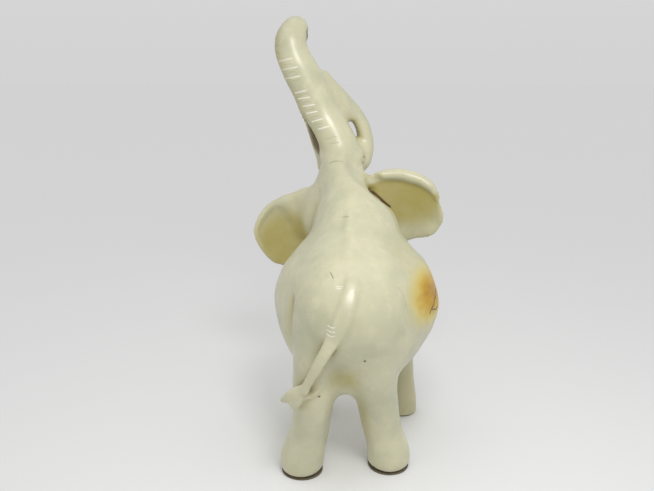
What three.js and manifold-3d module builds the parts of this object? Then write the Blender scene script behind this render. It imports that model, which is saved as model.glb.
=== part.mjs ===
// A carved stone elephant, standing, with its trunk raised over its head and both tusks joined to the trunk.
// Millimetres, +Z up. The elephant faces +Y, so its right side is +X. The origin is on the ground, at the
// centre of the figure's bounding box. The figure is one block in life: its members part here along the lines
// where a carver blocks them out, with JOINT_GAP between them.
import * as THREE from "three";
import { ParametricGeometry } from "three/addons/geometries/ParametricGeometry.js";
import { mergeVertices } from "three/addons/utils/BufferGeometryUtils.js";
import Module from "manifold-3d";

// Driving dimensions
const JOINT_GAP = 0.3; // clear space between neighbouring members
const PAD_THICK = 1.2; // felt pad under each foot
const PAD_INSET = 1.2; // how far a pad's edge stays inside its sole
const BELLY_HALF_WIDTH = 49.5;
const BELLY_X = 1;
const BELLY_Y = 41; // the barrel's widest place, forward of the left hind sole
const BELLY_Z = 90;
const HIND_SOLE = 13; // sole half widths
const FRONT_SOLE = 10.8;
const TRUNK_HALF = 11;
const TUSK_HALF = 5;
const EAR_THICK = 4.6;
const TAIL_HALF = 3.2;
const STONE = new THREE.Color(0.8, 0.78, 0.64);
const STONE_ROUGHNESS = 0.35;
const FELT = new THREE.Color(0.12, 0.07, 0.04);
const FELT_ROUGHNESS = 0.95;

// Where each sole stands, as [x, y] from the middle of the body and the left hind foot. Each right foot is a
// step ahead of the left one.
const SOLES = {
  hind: { left: [-25, 0], right: [23.8, 12] },
  front: { left: [-28.5, 70], right: [28.2, 79] },
};

const wasm = await Module();
wasm.setup();

const vec = (p) => new THREE.Vector3(...p);

// A smooth curve through triples of numbers, read at t from 0 to 1 along its list.
function through(triples) {
  return new THREE.CatmullRomCurve3(triples.map(vec), false, "centripetal");
}

// How wide a member is near its ends, as a share: a dome of length `dome` at an end rounds it off.
function domeShare(t, startDome, endDome) {
  const near = (x, dome) => (dome > 0 && x < dome ? Math.sqrt(1 - (1 - x / dome) ** 2) : 1);
  return near(t, startDome) * near(1 - t, endDome);
}

// t for row v of a lofted member, with rows crowded into the domes so that they come out round.
function crowd(v, startDome, endDome) {
  const rows = 0.22;
  if (startDome > 0 && v < rows) return startDome * (1 - Math.cos((v / rows) * (Math.PI / 2)));
  if (endDome > 0 && v > 1 - rows) return 1 - endDome * (1 - Math.cos(((1 - v) / rows) * (Math.PI / 2)));
  const from = startDome > 0 ? rows : 0;
  const to = endDome > 0 ? 1 - rows : 1;
  return startDome + ((v - from) / (to - from)) * (1 - startDome - endDome);
}

// A member lofted along a smooth line. Each station is [centre, half width, half depth]: width runs along X
// as near as the line allows, depth square to it. An end with no dome is closed flat. The sections lie
// square to the line, or square to `facing` where that is given. They are ellipses at pinch = 1, and drawn in
// at their diagonals above that.
function loft(stations, { around = 24, along = 18, domes = [0.2, 0.2], facing = null, pinch = 1 } = {}) {
  const line = through(stations.map((s) => s[0]));
  const halves = through(stations.map((s) => [s[1], s[2], 0]));
  const [startDome, endDome] = domes;
  const flatRows = (startDome > 0 ? 0 : 1) + (endDome > 0 ? 0 : 1);
  const stacks = along + flatRows;
  const point = (u, v, target) => {
    const row = Math.round(v * stacks) - (startDome > 0 ? 0 : 1);
    const clamped = Math.min(Math.max(row / along, 0), 1);
    const t = crowd(clamped, startDome, endDome);
    const closing = row < 0 || row > along ? 0 : domeShare(t, startDome, endDome);
    const tangent = facing ? vec(facing) : line.getTangent(t);
    const across = vec([1, 0, 0]).addScaledVector(tangent, -tangent.x).normalize();
    const depth = new THREE.Vector3().crossVectors(across, tangent);
    const half = halves.getPoint(t);
    const angle = 2 * Math.PI * u;
    const share = (x) => closing * Math.sign(x) * Math.abs(x) ** pinch;
    target
      .copy(line.getPoint(t))
      .addScaledVector(across, half.x * share(Math.cos(angle)))
      .addScaledVector(depth, half.y * share(Math.sin(angle)));
  };
  return new ParametricGeometry(point, around, stacks);
}

// A dished leaf: an outline round a centre, with a rounded rim. `lift` bends it out of its own plane.
function leaf(outline, thick, lift, { around = 36, across = 20 } = {}) {
  const rim = new THREE.CatmullRomCurve3(outline.map(([x, z]) => vec([x, 0, z])), true, "centripetal");
  const centre = rim.getSpacedPoints(60).reduce((sum, p) => sum.add(p), vec([0, 0, 0])).divideScalar(61);
  const point = (u, v, target) => {
    const reach = Math.sin(Math.PI * v) ** 0.8;
    const face = Math.sign(0.5 - v) * Math.abs(Math.cos(Math.PI * v)) ** 0.5;
    target.copy(centre).lerp(rim.getPoint(u % 1), reach);
    target.y += lift(target.x, target.z) + (thick / 2) * face;
  };
  return new ParametricGeometry(point, around, across);
}

// A closed geometry as a solid, with its shared vertices merged and its collapsed triangles dropped.
function solid(geometry, grow = 0) {
  const bare = new THREE.BufferGeometry();
  bare.setAttribute("position", geometry.getAttribute("position"));
  bare.setIndex(geometry.getIndex());
  const merged = mergeVertices(bare, 1e-3);
  const corners = merged.getIndex().array;
  const kept = [];
  for (let i = 0; i < corners.length; i += 3) {
    const [a, b, c] = corners.slice(i, i + 3);
    if (a !== b && b !== c && a !== c) kept.push(a, b, c);
  }
  merged.setIndex(kept);
  merged.computeVertexNormals();
  const place = merged.getAttribute("position");
  const normal = merged.getAttribute("normal");
  const inside = signedVolume(place, kept) < 0;
  const outward = inside ? -grow : grow;
  for (let i = 0; i < place.count; i += 1) {
    place.setXYZ(
      i,
      place.getX(i) + outward * normal.getX(i),
      place.getY(i) + outward * normal.getY(i),
      place.getZ(i) + outward * normal.getZ(i),
    );
  }
  if (inside) kept.reverse();
  return new wasm.Manifold(
    new wasm.Mesh({ numProp: 3, vertProperties: place.array, triVerts: new Uint32Array(kept) }),
  );
}

// The volume inside a closed mesh, negative where its faces point in.
function signedVolume(place, corners) {
  const [a, b, c] = [new THREE.Vector3(), new THREE.Vector3(), new THREE.Vector3()];
  let volume = 0;
  for (let i = 0; i < corners.length; i += 3) {
    a.fromBufferAttribute(place, corners[i]);
    b.fromBufferAttribute(place, corners[i + 1]);
    c.fromBufferAttribute(place, corners[i + 2]);
    volume += a.dot(b.cross(c)) / 6;
  }
  return volume;
}

// Cuts each of the neighbouring shapes, grown by the joint gap, out of a member.
function cutBy(member, neighbours) {
  return neighbours.reduce((left, shape) => left.subtract(solid(shape, JOINT_GAP)), solid(member));
}

// A named mesh of a solid, in polished stone unless told otherwise.
function meshOf(name, body, colour = STONE, roughness = STONE_ROUGHNESS) {
  const got = body.getMesh();
  const geometry = new THREE.BufferGeometry();
  geometry.setAttribute("position", new THREE.BufferAttribute(got.vertProperties, 3));
  geometry.setIndex(new THREE.BufferAttribute(got.triVerts, 1));
  geometry.computeVertexNormals();
  const material = new THREE.MeshStandardMaterial({ color: colour, roughness, metalness: 0 });
  const mesh = new THREE.Mesh(geometry, material);
  mesh.name = name;
  return mesh;
}

// The barrel, from the rump forward to the chest.
function torsoShape() {
  const w = BELLY_HALF_WIDTH;
  return loft(
    [
      [[BELLY_X, BELLY_Y - 60, BELLY_Z - 1], 0.46 * w, 29],
      [[BELLY_X, BELLY_Y - 44, BELLY_Z - 5], 0.66 * w, 36],
      [[BELLY_X, BELLY_Y - 24, BELLY_Z - 3], 0.86 * w, 41],
      [[BELLY_X, BELLY_Y, BELLY_Z + 0.5], w, 42],
      [[BELLY_X, BELLY_Y + 24, BELLY_Z + 3], 0.86 * w, 42],
      [[BELLY_X, BELLY_Y + 44, BELLY_Z + 6], 0.6 * w, 36],
      [[BELLY_X, BELLY_Y + 58, BELLY_Z + 9], 0.4 * w, 26],
    ],
    { around: 36, along: 22, domes: [0.24, 0.24], facing: [0, 1, 0], pinch: 1.06 },
  );
}

// Withers, neck and skull in one sweep, tipping back and leaning to the left as they rise.
function headShape() {
  return loft(
    [
      [[1, 54, 104], 26, 32],
      [[1, 60, 126], 25, 29],
      [[-1.6, 66, 137], 23.8, 25],
      [[-4.6, 71, 144], 20.4, 22],
      [[-9, 76, 151], 16, 19.5],
      [[-12.4, 81, 158], 13, 18],
      [[-12.8, 86, 167], 13.6, 16.5],
      [[-15, 88, 178], 12, 13.5],
    ],
    { around: 28, along: 22, domes: [0.1, 0.12] },
  );
}

// The lower jaw hangs open under the trunk and ends in a pointed lip.
function jawShape() {
  return loft(
    [
      [[-9, 84, 146], 11, 12],
      [[-10, 96, 147], 9, 8],
      [[-11, 106, 151], 6, 4.6],
      [[-11.5, 112, 156], 3.2, 2.6],
    ],
    { around: 16, along: 12, domes: [0.2, 0.15] },
  );
}

// The trunk leaves the forehead, leans to the elephant's left and curls forward at its tip.
function trunkShape() {
  const r = TRUNK_HALF;
  return loft(
    [
      [[-13, 86, 164], 1.18 * r, 1.2 * r],
      [[-15.2, 88, 176], 1.14 * r, 1.14 * r],
      [[-25, 90, 193], 1.06 * r, 1.04 * r],
      [[-31, 90, 207], r, r],
      [[-39, 88, 223], 0.93 * r, 0.93 * r],
      [[-45.4, 87, 236], 0.88 * r, 0.84 * r],
      [[-45.4, 90.5, 244.5], 0.8 * r, 0.7 * r],
      [[-43.6, 97.5, 248], 0.68 * r, 0.58 * r],
      [[-41, 104, 245], 0.58 * r, 0.5 * r],
    ],
    { around: 24, along: 30, domes: [0.08, 0.05] },
  );
}

// A tusk bows out from the corner of the mouth and runs back in to the trunk, which its tip joins.
function tuskShape(name) {
  const r = TUSK_HALF;
  const lines = {
    right: [[-4, 96, 160], [0.9, 101, 175], [-3.8, 101, 192], [-15, 98, 206], [-27.5, 93, 217]],
    left: [[-21, 96, 158], [-25.5, 103, 170], [-30.3, 106.5, 182], [-34, 104, 195], [-37, 95, 210]],
  };
  const halves = [1.3 * r, 1.1 * r, r, 0.85 * r, 0.55 * r];
  const stations = lines[name].map((place, i) => [place, halves[i], halves[i]]);
  return loft(stations, { around: 16, along: 18, domes: [0.1, 0.1] });
}

// Each ear's outline as [outward, up] from its root. The head tips to the left as it turns back, so the left
// ear hangs lower and its lobe is longer.
const EARS = {
  right: {
    root: [0, 84, 141],
    outline: [
      [-6, 4],
      [2, 17],
      [12, 20.5],
      [23, 21],
      [33, 18.5],
      [41, 13.5],
      [45.5, 5],
      [49, -3],
      [49.5, -10],
      [46.5, -16],
      [41, -20],
      [32, -22.5],
      [23, -26],
      [11, -28],
      [-3, -18],
    ],
  },
  left: {
    root: [-18.5, 84, 133.5],
    outline: [
      [-3, 8],
      [6, 15],
      [14, 14],
      [27, 10],
      [39, 3.5],
      [47, -4],
      [49.5, -10.5],
      [48, -18],
      [43, -27],
      [37, -33],
      [29, -37],
      [18, -34],
      [8, -24],
      [-2, -10],
    ],
  },
};

// A dished ear, standing square to the head, with its hollow towards the tail.
function earShape(name) {
  const { root, outline } = EARS[name];
  const reach = Math.max(...outline.map(([out]) => out));
  const cup = 9;
  const curl = 0.006;
  const middle = -10;
  const across = (x) => Math.sin(Math.PI * THREE.MathUtils.clamp(x / reach, 0, 1));
  const ear = leaf(outline, EAR_THICK, (x, z) => cup * across(x) - curl * (z - middle) ** 2);
  if (name === "left") ear.scale(-1, 1, 1);
  return ear.translate(...root);
}

// A hind leg, from its sole up and in to the haunch.
function hindLegShape([x, y]) {
  const s = HIND_SOLE;
  const inward = -Math.sign(x);
  return loft(
    [
      [[x, y, PAD_THICK], 0.96 * s, s],
      [[x, y, 9], 0.97 * s, s],
      [[x + 4 * inward, y, 24], 0.86 * s, 0.92 * s],
      [[x + 6.5 * inward, 0.8 * y - 1, 42], 0.9 * s, 1.1 * s],
      [[x + 8.5 * inward, 0.5 * y - 2, 62], s, 1.3 * s],
      [[x + 9 * inward, 0.3 * y + 1, 80], 1.02 * s, 1.45 * s],
      [[x + 11 * inward, 4, 106], 0.9 * s, 1.3 * s],
    ],
    { around: 24, along: 18, domes: [0, 0.25] },
  );
}

function frontLegShape([x, y]) {
  const s = FRONT_SOLE;
  const inward = -Math.sign(x);
  return loft(
    [
      [[x, y, PAD_THICK], s, s],
      [[x, y, 8], s, s],
      [[x + inward, y, 26], 0.88 * s, 0.92 * s],
      [[x + 4 * inward, y - 2, 52], 1.05 * s, 1.15 * s],
      [[x + 9 * inward, y - 6, 90], 1.2 * s, 1.45 * s],
    ],
    { around: 20, along: 14, domes: [0, 0.2] },
  );
}

// A felt disc under a foot.
function padShape([x, y], half) {
  const pad = new THREE.CylinderGeometry(half, half, PAD_THICK - JOINT_GAP, 28);
  pad.rotateX(Math.PI / 2);
  return pad.translate(x, y, (PAD_THICK - JOINT_GAP) / 2);
}

// The tail is a strap that leaves the rump and crosses the left haunch to the back of the left hind leg.
function tailShape() {
  const t = TAIL_HALF;
  return loft(
    [
      [[2, -6, 116], 1.2 * t, t],
      [[1.5, -16, 106], 1.4 * t, 1.1 * t],
      [[-3, -21.5, 92], 1.35 * t, t],
      [[-10, -25, 78.5], 1.1 * t, 0.9 * t],
      [[-19, -24.5, 61.5], 0.8 * t, 0.8 * t],
    ],
    { around: 14, along: 14, domes: [0.1, 0.1] },
  );
}

function tuftShape() {
  const t = TAIL_HALF;
  return loft(
    [
      [[-17.5, -23.5, 62], t, t],
      [[-23.5, -21, 56.5], 1.9 * t, 1.2 * t],
      [[-33.5, -17, 51.5], 1.1 * t, t],
    ],
    { around: 14, along: 10, domes: [0.2, 0.3] },
  );
}

const torso = torsoShape();
const head = headShape();
const jaw = jawShape();
const trunk = trunkShape();
const tail = tailShape();
const figure = new THREE.Group();

figure.add(meshOf("torso", solid(torso)));
figure.add(meshOf("head", cutBy(head, [torso])));
figure.add(meshOf("jaw", cutBy(jaw, [head, torso])));
figure.add(meshOf("trunk", cutBy(trunk, [head, jaw])));
for (const side of ["left", "right"]) {
  const hind = SOLES.hind[side];
  const front = SOLES.front[side];
  figure.add(meshOf(`tusk_${side}`, cutBy(tuskShape(side), [head, jaw, trunk])));
  figure.add(meshOf(`ear_${side}`, cutBy(earShape(side), [head, torso])));
  figure.add(meshOf(`hind_leg_${side}`, cutBy(hindLegShape(hind), [torso])));
  figure.add(meshOf(`front_leg_${side}`, cutBy(frontLegShape(front), [torso])));
  const hindPad = solid(padShape(hind, HIND_SOLE - PAD_INSET));
  const frontPad = solid(padShape(front, FRONT_SOLE - PAD_INSET));
  figure.add(meshOf(`hind_pad_${side}`, hindPad, FELT, FELT_ROUGHNESS));
  figure.add(meshOf(`front_pad_${side}`, frontPad, FELT, FELT_ROUGHNESS));
}
const hindLeft = hindLegShape(SOLES.hind.left);
figure.add(meshOf("tail", cutBy(tail, [torso, hindLeft])));
figure.add(meshOf("tail_tuft", cutBy(tuftShape(), [tail, hindLeft])));

// The origin goes under the middle of the bounding box.
const box = new THREE.Box3().setFromObject(figure);
figure.position.set(-(box.min.x + box.max.x) / 2, -(box.min.y + box.max.y) / 2, -box.min.z);

export default figure;
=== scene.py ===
"""A carved soapstone elephant with a raised trunk, standing on four felt pads on a pale studio floor.

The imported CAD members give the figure's size and stance. Their surfaces are welded into one block of clay,
a grid of signed distances, which is carved further and then turned into one closed mesh: the stone figure.
Lengths are millimetres while carving and metres in the scene. The elephant faces +Y, and its right is +X.
"""

import math

import bmesh
import bpy
import numpy as np
import openvdb
from mathutils import Matrix, Vector
from mathutils.kdtree import KDTree


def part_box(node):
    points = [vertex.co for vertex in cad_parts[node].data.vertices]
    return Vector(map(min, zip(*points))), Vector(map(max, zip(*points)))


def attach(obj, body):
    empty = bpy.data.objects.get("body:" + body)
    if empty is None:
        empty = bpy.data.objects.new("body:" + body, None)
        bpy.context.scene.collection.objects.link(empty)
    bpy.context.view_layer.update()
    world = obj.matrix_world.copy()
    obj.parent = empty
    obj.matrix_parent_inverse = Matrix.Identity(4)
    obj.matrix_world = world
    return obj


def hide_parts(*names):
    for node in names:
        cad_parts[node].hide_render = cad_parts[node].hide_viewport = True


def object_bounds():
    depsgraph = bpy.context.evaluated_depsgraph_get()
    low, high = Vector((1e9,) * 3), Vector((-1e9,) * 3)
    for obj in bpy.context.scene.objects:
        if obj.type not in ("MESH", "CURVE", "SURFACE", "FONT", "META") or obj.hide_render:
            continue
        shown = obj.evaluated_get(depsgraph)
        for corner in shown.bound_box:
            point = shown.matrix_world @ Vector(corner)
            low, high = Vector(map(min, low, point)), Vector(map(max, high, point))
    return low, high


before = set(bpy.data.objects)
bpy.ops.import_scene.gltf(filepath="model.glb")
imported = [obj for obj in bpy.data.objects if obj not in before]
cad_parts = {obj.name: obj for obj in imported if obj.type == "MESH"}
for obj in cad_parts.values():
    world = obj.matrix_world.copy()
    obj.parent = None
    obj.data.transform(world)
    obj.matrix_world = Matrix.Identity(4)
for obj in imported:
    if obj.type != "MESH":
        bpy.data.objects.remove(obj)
cad_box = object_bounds()

# Units and the clay's grid
MM = 0.001
STEP = 1.2  # between grid points of the clay
MARGIN = 8.0  # clear grid round the figure
FAR = 20.0  # the distance given to grid points away from any surface
DEPTH = 10.0  # how far either side of a member's surface its distances are worked out
WELD = 6.0  # hollows tighter than this radius are filled where members meet
REFINE = 3  # cuts across each edge of the mesh along an incised line
WRINKLE_GAP = 0.055  # between the trunk's wrinkles, as a share of its height
FORWARD = np.array([0.0, 1.0, 0.0])
UP = np.array([0.0, 0.0, 1.0])

# The figure
HIND_FOOT_OUT = 25.0  # from the body's midline to the middle of the left hind sole
CORE = ["torso", "head", "jaw", "trunk"]
LEGS = ["hind_leg_left", "hind_leg_right", "front_leg_left", "front_leg_right"]
TUSKS = ["tusk_left", "tusk_right"]
EARS = ["ear_left", "ear_right"]
TAIL = ["tail", "tail_tuft"]
STONE = CORE + LEGS + TUSKS + EARS + TAIL
PADS = ["hind_pad_left", "hind_pad_right", "front_pad_left", "front_pad_right"]
UNEVEN = 0.12  # how far the hand-shaped surface strays from true
EYE_FORWARD = 87.5
EYE_HEIGHT = 167.5

# Ears. Turns are degrees round an ear's middle, from +X towards +Z.
EAR_ROOTS = {"ear_left": (-24, 84, 145), "ear_right": (-1, 81, 157)}
EAR_GROWTH = 1.08  # how much wider and deeper the ears are than their CAD blanks
CORNER_TURN = 140  # where the left ear's upper corner is
CORNER_SPAN = 20  # how far round it is fuller
CORNER_GROWTH = 0.11
EAR_RIMS = {"ear_left": (72, 235, 2.1), "ear_right": (136, 16, 3.1)}  # first and last turn, and top radius
RIM_STEP = 17  # degrees between the places that a rim goes through
THICK_RIM = 1.0  # rims of more than this radius are pale
EAR_CHIPS = [(19, 1.4), (-2, 0.7), (-20, 0.8), (-43, 0.7)]  # the right ear's chips: turn and depth
CHIP_RADIUS = 3.2
# x and z down the corner between the neck and the right ear
EAR_CORNER = [(6.9, 158), (10.4, 153), (16.1, 148.6), (23.8, 143), (29.3, 131.5), (32.6, 121.4)]

# The camera, from the middle of the left hind foot
CAMERA_LENS = 38.53
CAMERA_RIGHT = 0.064
CAMERA_BACK = 0.353
CAMERA_HEIGHT = 0.230
CAMERA_PITCH = 15  # degrees down
CAMERA_YAW = 8  # degrees to the left

# The studio
FLOOR = 0.8  # how much light the floor gives back
FLOOR_REACH = 6.0
HORIZON_GLOW = 0.65  # the studio is brighter overhead, by what makes the far floor as bright as the horizon
TOP_GLOW = HORIZON_GLOW + 1.5 * (HORIZON_GLOW / FLOOR - HORIZON_GLOW)
SHADED_SIDE = 0.85  # how bright the studio's left side is beside the rest
LAMP_PLACE = (60, -155, 330)
LAMP_TARGET = (0, 40, 110)
LAMP_SIZE = 0.09
LAMP_POWER = 0.45


# Places, read from the CAD nodes


def corners(node):
    """A node's lowest and highest corner, in millimetres."""
    low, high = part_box(node)
    return np.array(low) / MM, np.array(high) / MM


def vertices(node):
    """A node's vertices, in millimetres."""
    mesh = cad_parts[node].data
    places = np.empty(len(mesh.vertices) * 3, np.float32)
    mesh.vertices.foreach_get("co", places)
    return places.reshape(-1, 3).astype(float) / MM


def slice_centre(node, up, slab=0.04):
    """The middle of a node's section at this share of its height."""
    places = vertices(node)
    low, high = corners(node)
    share = (places[:, 2] - low[2]) / (high[2] - low[2])
    near = places[np.abs(share - up) < slab]
    return (near.min(0) + near.max(0)) / 2


def rim_point(node, degrees, spread=7.0):
    """The outermost place of a leaf-shaped node, this many degrees round from +X towards +Z."""
    places = vertices(node)
    low, high = corners(node)
    out = places - (low + high) / 2
    turn = np.degrees(np.arctan2(out[:, 2], out[:, 0])) - degrees
    near = np.abs((turn + 180) % 360 - 180) < spread
    reach = np.hypot(out[:, 0], out[:, 2])
    best = places[near][np.argsort(reach[near])[-6:]]
    return best.mean(0)


def smooth_rows(rows, per_span=8):
    """A smooth curve through rows of numbers, as more rows."""
    rows = np.asarray(rows, float)
    padded = np.vstack([2 * rows[0] - rows[1], rows, 2 * rows[-1] - rows[-2]])
    t = np.linspace(0, 1, per_span, endpoint=False)[:, None]
    made = []
    for a, b, c, d in zip(padded[:-3], padded[1:-2], padded[2:-1], padded[3:]):
        bend = (2 * a - 5 * b + 4 * c - d) * t**2 + (3 * b - a - 3 * c + d) * t**3
        made.append(b + 0.5 * ((c - a) * t + bend))
    return np.vstack([*made, rows[-1:]])


def place(x, y, z):
    """A place in the figure: x from the body's midline, y forward of the left hind sole, z up."""
    low, high = corners("hind_pad_left")
    foot = (low + high) / 2
    return np.array([foot[0] + HIND_FOOT_OUT + x, foot[1] + y, z])


def placed(rows):
    """Rows that start with such a place, with the place turned into the scene's own millimetres."""
    return np.array([[*place(*row[:3]), *row[3:]] for row in rows])


# Clay


def blend_min(a, b, soft):
    """The smaller of two distances, with a fillet about `soft` wide where they meet."""
    near = np.clip(soft - np.abs(a - b), 0, None) / soft
    return np.minimum(a, b) - near * near * soft / 4


def roll_distance(places, path):
    """Distances to a roll of clay along rows of x, y, z and radius."""
    best = np.full(places.shape[:-1], FAR, np.float32)
    path = path.astype(np.float32)
    for a, b in zip(path[:-1], path[1:]):
        along = b[:3] - a[:3]
        share = np.clip(((places - a[:3]) @ along) / (along @ along), 0, 1)
        gap = np.linalg.norm(places - a[:3] - share[..., None] * along, axis=-1)
        best = np.minimum(best, gap - a[3] - share * (b[3] - a[3]))
    return best


def strap_distance(places, path, facing, corner):
    """Distances to a strap along rows of x, y, z, half width and half thickness.

    The strap's flat side faces `facing`, and its edges are rounded to the radius `corner`.
    """
    best = np.full(places.shape[:-1], FAR, np.float32)
    facing = np.broadcast_to(facing, (len(path), 3)).astype(np.float32)
    path = path.astype(np.float32)
    for a, b, out in zip(path[:-1], path[1:], facing):
        length = np.linalg.norm(b[:3] - a[:3])
        along = (b[:3] - a[:3]) / length
        normal = out - (out @ along) * along
        normal = normal / np.linalg.norm(normal)
        side = np.cross(along, normal)
        share = np.clip(((places - a[:3]) @ along) / length, 0, 1)
        rest = places - a[:3] - share[..., None] * (b[:3] - a[:3])
        across = np.abs(rest @ side) - (a[3] + share * (b[3] - a[3]) - corner)
        proud = np.abs(rest @ normal) - (a[4] + share * (b[4] - a[4]) - corner)
        beyond = np.abs(rest @ along)
        outside = np.sqrt(np.maximum(across, 0) ** 2 + np.maximum(proud, 0) ** 2 + beyond**2)
        best = np.minimum(best, outside + np.minimum(np.maximum(across, proud), 0) - corner)
    return best


class Clay:
    """A solid as a grid of signed distances, negative inside."""

    def __init__(self, low, high):
        self.start = np.floor(low / STEP).astype(int)
        size = np.ceil(high / STEP).astype(int) - self.start + 1
        self.field = np.full(size, FAR, np.float32)

    def read_surface(self, points, faces, outside, inside, triangles=None):
        """The signed distances to a closed surface, clipped at these depths outside and inside it."""
        grid = openvdb.FloatGrid.createLevelSetFromPolygons(
            points.astype(np.float32),
            quads=faces.astype(np.uint32),
            triangles=triangles,
            transform=openvdb.createLinearTransform(voxelSize=STEP),
            exBandWidth=outside / STEP,
            inBandWidth=inside / STEP,
        )
        field = np.empty(self.field.shape, np.float32)
        grid.copyToArray(field, ijk=tuple(int(i) for i in self.start))
        return field, grid

    def window(self, low, high):
        """The grid's slices between two corners, and the place of each grid point in them."""
        first = np.maximum(np.floor(low / STEP).astype(int) - self.start, 0)
        last = np.minimum(np.ceil(high / STEP).astype(int) - self.start + 1, self.field.shape)
        axes = []
        for i, j, start in zip(first, last, self.start):
            axes.append((np.arange(i, j, dtype=np.float32) + start) * np.float32(STEP))
        slices = tuple(slice(i, j) for i, j in zip(first, last))
        return slices, np.stack(np.meshgrid(*axes, indexing="ij"), -1)

    def merge(self, slices, gap, soft, carve):
        """Adds a shape, given by its distances in these slices, or carves it away."""
        old = self.field[slices]
        new = -blend_min(-old, gap, soft) if carve else blend_min(old, gap, soft)
        self.field[slices] = new

    def roll(self, rows, soft=2.0, carve=False, per_span=8):
        """Adds a roll of clay along a smooth line of x, y, z and radius, or carves its shape away."""
        path = smooth_rows(rows, per_span)
        reach = path[:, 3].max() + soft + 2 * STEP
        slices, places = self.window(path[:, :3].min(0) - reach, path[:, :3].max(0) + reach)
        self.merge(slices, roll_distance(places, path), soft, carve)

    def strap(self, rows, facing, corner, soft, carve=False, per_span=8):
        """Adds a strap along a smooth line of x, y, z, half width and half thickness, or carves it away."""
        path = smooth_rows(rows, per_span)
        if np.ndim(facing) > 1:
            facing = smooth_rows(facing, per_span)
        reach = path[:, 3:].max() + soft + 2 * STEP
        slices, places = self.window(path[:, :3].min(0) - reach, path[:, :3].max(0) + reach)
        self.merge(slices, strap_distance(places, path, facing, corner), soft, carve)

    def blur(self, radius):
        """Softens the surface, as sanding does, with a Gaussian of this radius."""
        part = self.field
        reach = int(math.ceil(2.5 * radius / STEP))
        weights = np.exp(-0.5 * (np.arange(-reach, reach + 1) * STEP / radius) ** 2)
        weights /= weights.sum()
        for axis in range(3):
            padding = [(reach, reach) if i == axis else (0, 0) for i in range(3)]
            padded = np.pad(part, padding, mode="edge")
            total = np.zeros_like(part)
            for i, weight in enumerate(weights):
                cut = [slice(None)] * 3
                cut[axis] = slice(i, i + part.shape[axis])
                total += np.float32(weight) * padded[tuple(cut)]
            part = total
        self.field = part

    def sample(self, points):
        """The distances at any places, between the grid points."""
        index = np.asarray(points) / STEP - self.start
        index = np.clip(index, 0, np.array(self.field.shape) - 1.001)
        low = index.astype(int)
        share = index - low
        total = 0
        for corner in range(8):
            step = np.array([corner >> 2 & 1, corner >> 1 & 1, corner & 1])
            weight = np.where(step, share, 1 - share).prod(-1)
            at = low + step
            total = total + weight * self.field[at[..., 0], at[..., 1], at[..., 2]]
        return total

    def slope(self, points):
        """Which way the distance grows at these places: the surface's outward direction."""
        half = 0.5 * STEP
        steps = half * np.eye(3)
        grown = [self.sample(points + s) - self.sample(points - s) for s in steps]
        slope = np.stack(grown, -1) / (2 * half)
        return slope / np.maximum(np.linalg.norm(slope, axis=-1, keepdims=True), 1e-6)

    def settle(self, points, rounds=3):
        """Moves places that are near the surface onto it."""
        for _ in range(rounds):
            points = points - self.sample(points)[..., None] * self.slope(points)
        return points

    def hit(self, origin, direction, reach=160.0):
        """The first place where a ray enters the solid."""
        direction = np.asarray(direction, float) / np.linalg.norm(direction)
        steps = np.arange(0, reach, 0.5 * STEP)
        along = origin + steps[:, None] * direction
        values = self.sample(along)
        inside = np.nonzero(values < 0)[0]
        if not len(inside) or inside[0] == 0:
            return np.asarray(origin, float)
        i = inside[0]
        share = values[i - 1] / (values[i - 1] - values[i])
        return along[i - 1] + share * (along[i] - along[i - 1])

    def mesh(self):
        """The surface as vertices and quads."""
        grid = openvdb.FloatGrid(FAR)
        grid.transform = openvdb.createLinearTransform(voxelSize=STEP)
        grid.copyFromArray(self.field, ijk=tuple(int(i) for i in self.start))
        points, _, quads = grid.convertToPolygons(isovalue=0.0, adaptivity=0.0)
        return largest_part(self.settle(points.astype(float)), quads)


def largest_part(points, quads):
    """The biggest connected part of a mesh, without any specks beside it."""
    part = np.arange(len(points))
    while True:
        joined = part.copy()
        np.minimum.at(joined, quads.ravel(), np.repeat(part[quads].min(1), 4))
        joined = joined[joined]
        if (joined == part).all():
            break
        part = joined
    kept = part == np.bincount(part).argmax()
    number = np.cumsum(kept) - 1
    return points[kept], number[quads[kept[quads[:, 0]]]]


def smooth_copy(node):
    """A node's surface after subdivision, as vertices in millimetres and quads."""
    work = bmesh.new()
    work.from_mesh(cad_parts[node].data)
    bmesh.ops.remove_doubles(work, verts=work.verts, dist=1e-6)
    bmesh.ops.join_triangles(work, faces=work.faces, angle_face_threshold=0.6, angle_shape_threshold=0.9)
    mesh = bpy.data.meshes.new("smooth_copy")
    work.to_mesh(mesh)
    work.free()
    copy = bpy.data.objects.new("smooth_copy", mesh)
    bpy.context.scene.collection.objects.link(copy)
    copy.modifiers.new("smooth", "SUBSURF").levels = 2
    shown = copy.evaluated_get(bpy.context.evaluated_depsgraph_get()).to_mesh()
    places = np.empty(len(shown.vertices) * 3, np.float32)
    shown.vertices.foreach_get("co", places)
    loops = np.empty(len(shown.loops), np.int32)
    shown.loops.foreach_get("vertex_index", loops)
    bpy.data.objects.remove(copy)
    bpy.data.meshes.remove(mesh)
    return places.reshape(-1, 3) / MM, loops.reshape(-1, 4)


def joined_copies(nodes):
    """Several nodes' smooth surfaces as one list of vertices and quads."""
    points, faces = [], []
    for node in nodes:
        places, quads = smooth_copy(node)
        faces.append(quads + sum(map(len, points)))
        points.append(places)
    return np.vstack(points), np.vstack(faces)


def weld_core(clay):
    """Welds the barrel, head, trunk and legs: moving their skin out by WELD and back in closes the gaps."""
    points, quads = joined_copies(CORE + LEGS)
    _, grid = clay.read_surface(points, quads, WELD + 3 * STEP, 3 * STEP)
    outer, triangles, quads = grid.convertToPolygons(isovalue=WELD)
    field, _ = clay.read_surface(outer, quads, 3 * STEP, WELD + 8, triangles=triangles)
    clay.field = field + WELD


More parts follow.
